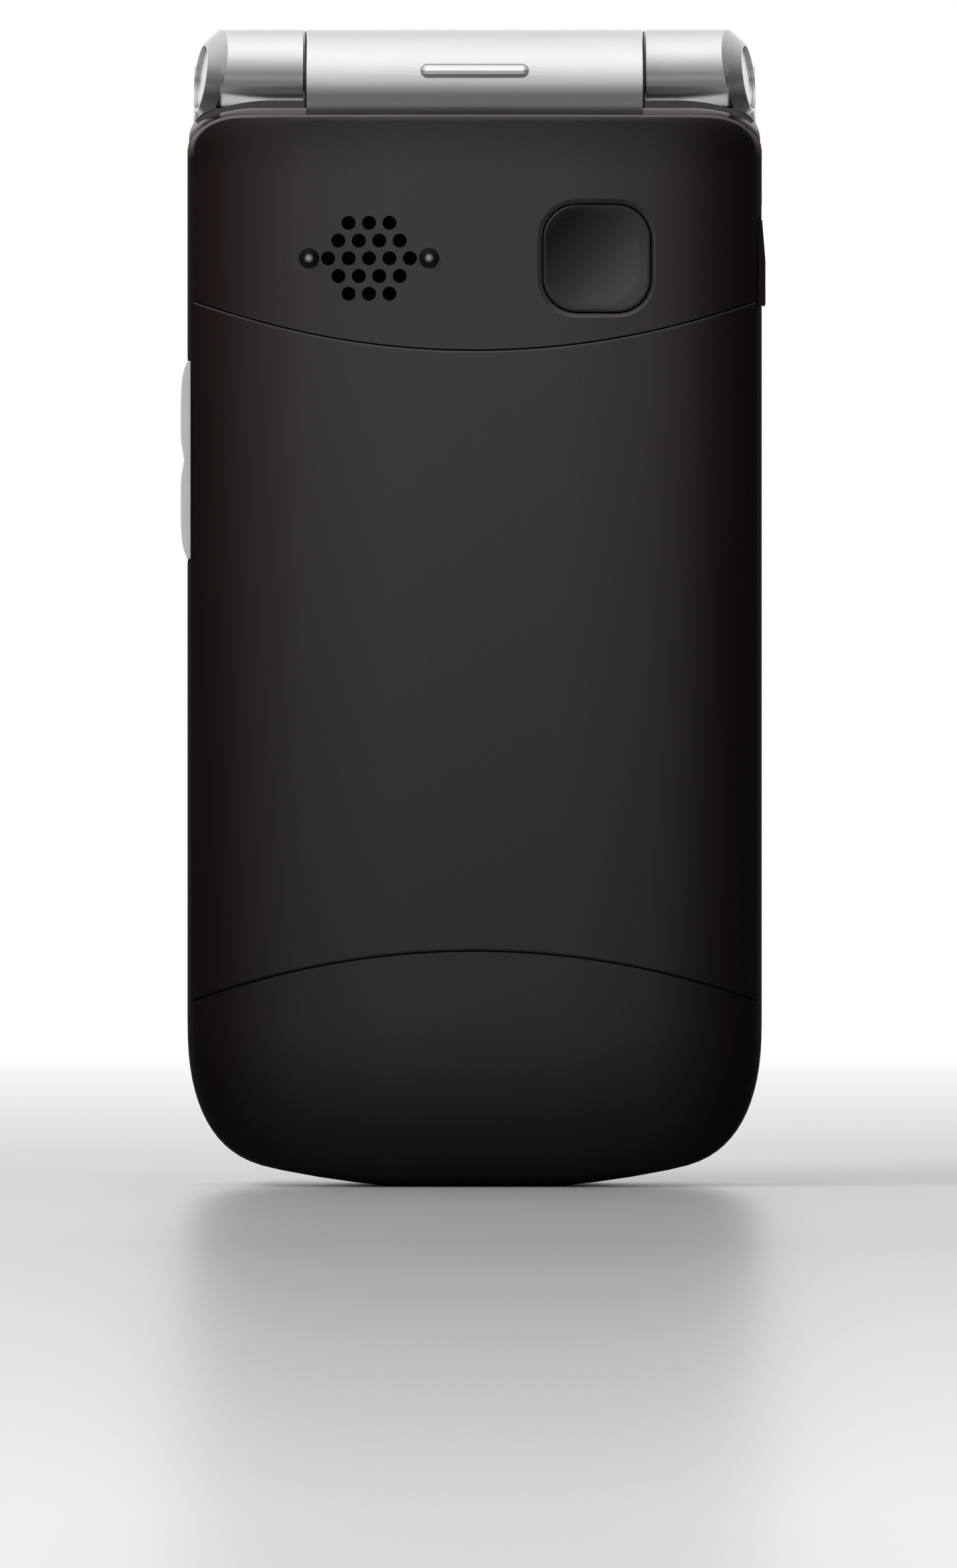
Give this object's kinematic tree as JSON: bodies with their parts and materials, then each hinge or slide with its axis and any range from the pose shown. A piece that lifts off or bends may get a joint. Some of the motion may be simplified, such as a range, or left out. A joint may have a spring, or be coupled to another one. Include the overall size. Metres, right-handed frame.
{
  "type": "folding feature phone",
  "caption": "Shut clamshell phone with a black keypad half, silver lid and hinge, a removable battery cover between curved seams, a loudspeaker grille, an emergency key and side controls.",
  "frame": {"origin": "middle of the foot the shut phone stands on, below the middle of its box", "axes": "+Z along the phone from its foot to the hinge, +Y from the keypad half's back to the lid's front, +X to the right as seen from the keypad half's back"},
  "size_m": [0.0529, 0.0194, 0.105],
  "materials": {
    "battery_can": "wrapped cell",
    "black_cover": "satin black moulded plastic",
    "black_gloss": "gloss black",
    "black_mesh": "woven acoustic mesh",
    "black_plastic": "satin black moulded plastic",
    "cap_chrome": "bright silver",
    "circuit_board": "green solder mask",
    "clear_guide": "clear light guide",
    "copper": "copper foil",
    "dark_plastic": "fine texture",
    "display_glass": "dark display stack",
    "flap_rubber": "smooth",
    "flex_lead": "amber film",
    "gold_contacts": "gold flash",
    "key_gloss": "soft gloss",
    "key_plastic": "soft-touch",
    "lens_glass": "hard-coated lens",
    "nav_silver": "metallic silver",
    "nub_rubber": "smooth",
    "silicone": "translucent silicone",
    "silver_paint": "metallic silver paint over plastic",
    "steel": "turned",
    "tin_plate": "tin plate",
    "white_plastic": "low-friction plastic"
  },
  "bodies": {
    "base": {"base_rear_housing": "black_plastic", "base_front_case": "silver_paint", "keypad_fascia": "black_gloss", "keymat": "silicone", "main_board": "circuit_board", "battery": "battery_can", "battery_contacts": "gold_contacts", "sim_socket": "tin_plate", "loudspeaker": "dark_plastic", "speaker_mesh": "black_mesh", "rest_nubs": "nub_rubber", "emergency_switch": "tin_plate", "volume_switches": "tin_plate", "flap_pin": "steel", "usb_socket": "steel", "vibration_motor": "steel", "microphone": "gold_contacts", "antenna": "copper", "base_screws": "steel", "indicator_lens": "clear_guide", "hinge_cartridge": "steel", "hinge_bush": "white_plastic", "hinge_flex": "flex_lead"},
    "battery_cover": {"battery_cover": "black_cover"},
    "emergency_key": {"emergency_key": "key_gloss"},
    "flip": {"flip_outer_case": "silver_paint", "front_panel": "black_gloss", "outer_display": "display_glass", "flip_board": "circuit_board", "main_display": "display_glass", "display_lens": "lens_glass", "flip_inner_case": "dark_plastic", "earpiece": "dark_plastic", "magnet": "steel", "bumpers": "flap_rubber", "flip_screws": "steel", "hinge_shaft": "steel", "pivot_sleeve": "steel", "hinge_end_caps": "cap_chrome"},
    "port_flap": {"port_flap": "flap_rubber"},
    "volume_rocker": {"volume_rocker": "silver_paint"},
    "key_1": {"key_1": "key_plastic"},
    "key_2": {"key_2": "key_plastic"},
    "key_3": {"key_3": "key_plastic"},
    "key_4": {"key_4": "key_plastic"},
    "key_5": {"key_5": "key_plastic"},
    "key_6": {"key_6": "key_plastic"},
    "key_7": {"key_7": "key_plastic"},
    "key_8": {"key_8": "key_plastic"},
    "key_9": {"key_9": "key_plastic"},
    "key_star": {"key_star": "key_plastic"},
    "key_0": {"key_0": "key_plastic"},
    "key_hash": {"key_hash": "key_plastic"},
    "key_soft_left": {"key_soft_left": "key_plastic"},
    "key_soft_right": {"key_soft_right": "key_plastic"},
    "key_call": {"key_call": "key_plastic"},
    "key_end": {"key_end": "key_plastic"},
    "key_nav": {"key_nav": "nav_silver"},
    "key_ok": {"key_ok": "key_plastic"}
  },
  "joints": [
    {"name": "battery_cover_off", "type": "slide", "parent": "base", "child": "battery_cover", "axis": [0, -1, 0], "range_m": [0, 0.012]},
    {"name": "emergency_press", "type": "slide", "parent": "base", "child": "emergency_key", "axis": [0, 1, 0], "range_m": [0, 0.0005], "stiffness_N_per_m": 800},
    {"name": "flip_hinge", "type": "hinge", "parent": "base", "child": "flip", "pos_m": [0, 0.0017, 0.1007], "axis": [1, 0, 0], "range_deg": [0, 160]},
    {"name": "flap_swing", "type": "hinge", "parent": "base", "child": "port_flap", "pos_m": [0.0254, -0.00315, 0.0882], "axis": [0, -1, 0], "range_deg": [0, 90]},
    {"name": "volume_rock", "type": "hinge", "parent": "base", "child": "volume_rocker", "pos_m": [-0.02365, -0.00315, 0.06569], "axis": [0, 1, 0], "range_deg": [-2, 2], "stiffness_Nm_per_rad": 0.3},
    {"name": "key_nav_tilt", "type": "hinge", "parent": "base", "child": "key_nav", "pos_m": [0, 0.00017, 0.071], "axis": [1, 0, 0], "range_deg": [-2, 2], "stiffness_Nm_per_rad": 0.3},
    {"name": "key_1_press", "type": "slide", "parent": "base", "child": "key_1", "axis": [0, -1, 0], "range_m": [0, 0.00035], "stiffness_N_per_m": 400},
    {"name": "key_2_press", "type": "slide", "parent": "base", "child": "key_2", "axis": [0, -1, 0], "range_m": [0, 0.00035], "stiffness_N_per_m": 400},
    {"name": "key_3_press", "type": "slide", "parent": "base", "child": "key_3", "axis": [0, -1, 0], "range_m": [0, 0.00035], "stiffness_N_per_m": 400},
    {"name": "key_4_press", "type": "slide", "parent": "base", "child": "key_4", "axis": [0, -1, 0], "range_m": [0, 0.00035], "stiffness_N_per_m": 400},
    {"name": "key_5_press", "type": "slide", "parent": "base", "child": "key_5", "axis": [0, -1, 0], "range_m": [0, 0.00035], "stiffness_N_per_m": 400},
    {"name": "key_6_press", "type": "slide", "parent": "base", "child": "key_6", "axis": [0, -1, 0], "range_m": [0, 0.00035], "stiffness_N_per_m": 400},
    {"name": "key_7_press", "type": "slide", "parent": "base", "child": "key_7", "axis": [0, -1, 0], "range_m": [0, 0.00035], "stiffness_N_per_m": 400},
    {"name": "key_8_press", "type": "slide", "parent": "base", "child": "key_8", "axis": [0, -1, 0], "range_m": [0, 0.00035], "stiffness_N_per_m": 400},
    {"name": "key_9_press", "type": "slide", "parent": "base", "child": "key_9", "axis": [0, -1, 0], "range_m": [0, 0.00035], "stiffness_N_per_m": 400},
    {"name": "key_star_press", "type": "slide", "parent": "base", "child": "key_star", "axis": [0, -1, 0], "range_m": [0, 0.00035], "stiffness_N_per_m": 400},
    {"name": "key_0_press", "type": "slide", "parent": "base", "child": "key_0", "axis": [0, -1, 0], "range_m": [0, 0.00035], "stiffness_N_per_m": 400},
    {"name": "key_hash_press", "type": "slide", "parent": "base", "child": "key_hash", "axis": [0, -1, 0], "range_m": [0, 0.00035], "stiffness_N_per_m": 400},
    {"name": "key_soft_left_press", "type": "slide", "parent": "base", "child": "key_soft_left", "axis": [0, -1, 0], "range_m": [0, 0.00035], "stiffness_N_per_m": 400},
    {"name": "key_soft_right_press", "type": "slide", "parent": "base", "child": "key_soft_right", "axis": [0, -1, 0], "range_m": [0, 0.00035], "stiffness_N_per_m": 400},
    {"name": "key_call_press", "type": "slide", "parent": "base", "child": "key_call", "axis": [0, -1, 0], "range_m": [0, 0.00035], "stiffness_N_per_m": 400},
    {"name": "key_end_press", "type": "slide", "parent": "base", "child": "key_end", "axis": [0, -1, 0], "range_m": [0, 0.00035], "stiffness_N_per_m": 400},
    {"name": "key_ok_press", "type": "slide", "parent": "base", "child": "key_ok", "axis": [0, -1, 0], "range_m": [0, 0.00035], "stiffness_N_per_m": 400}
  ]
}
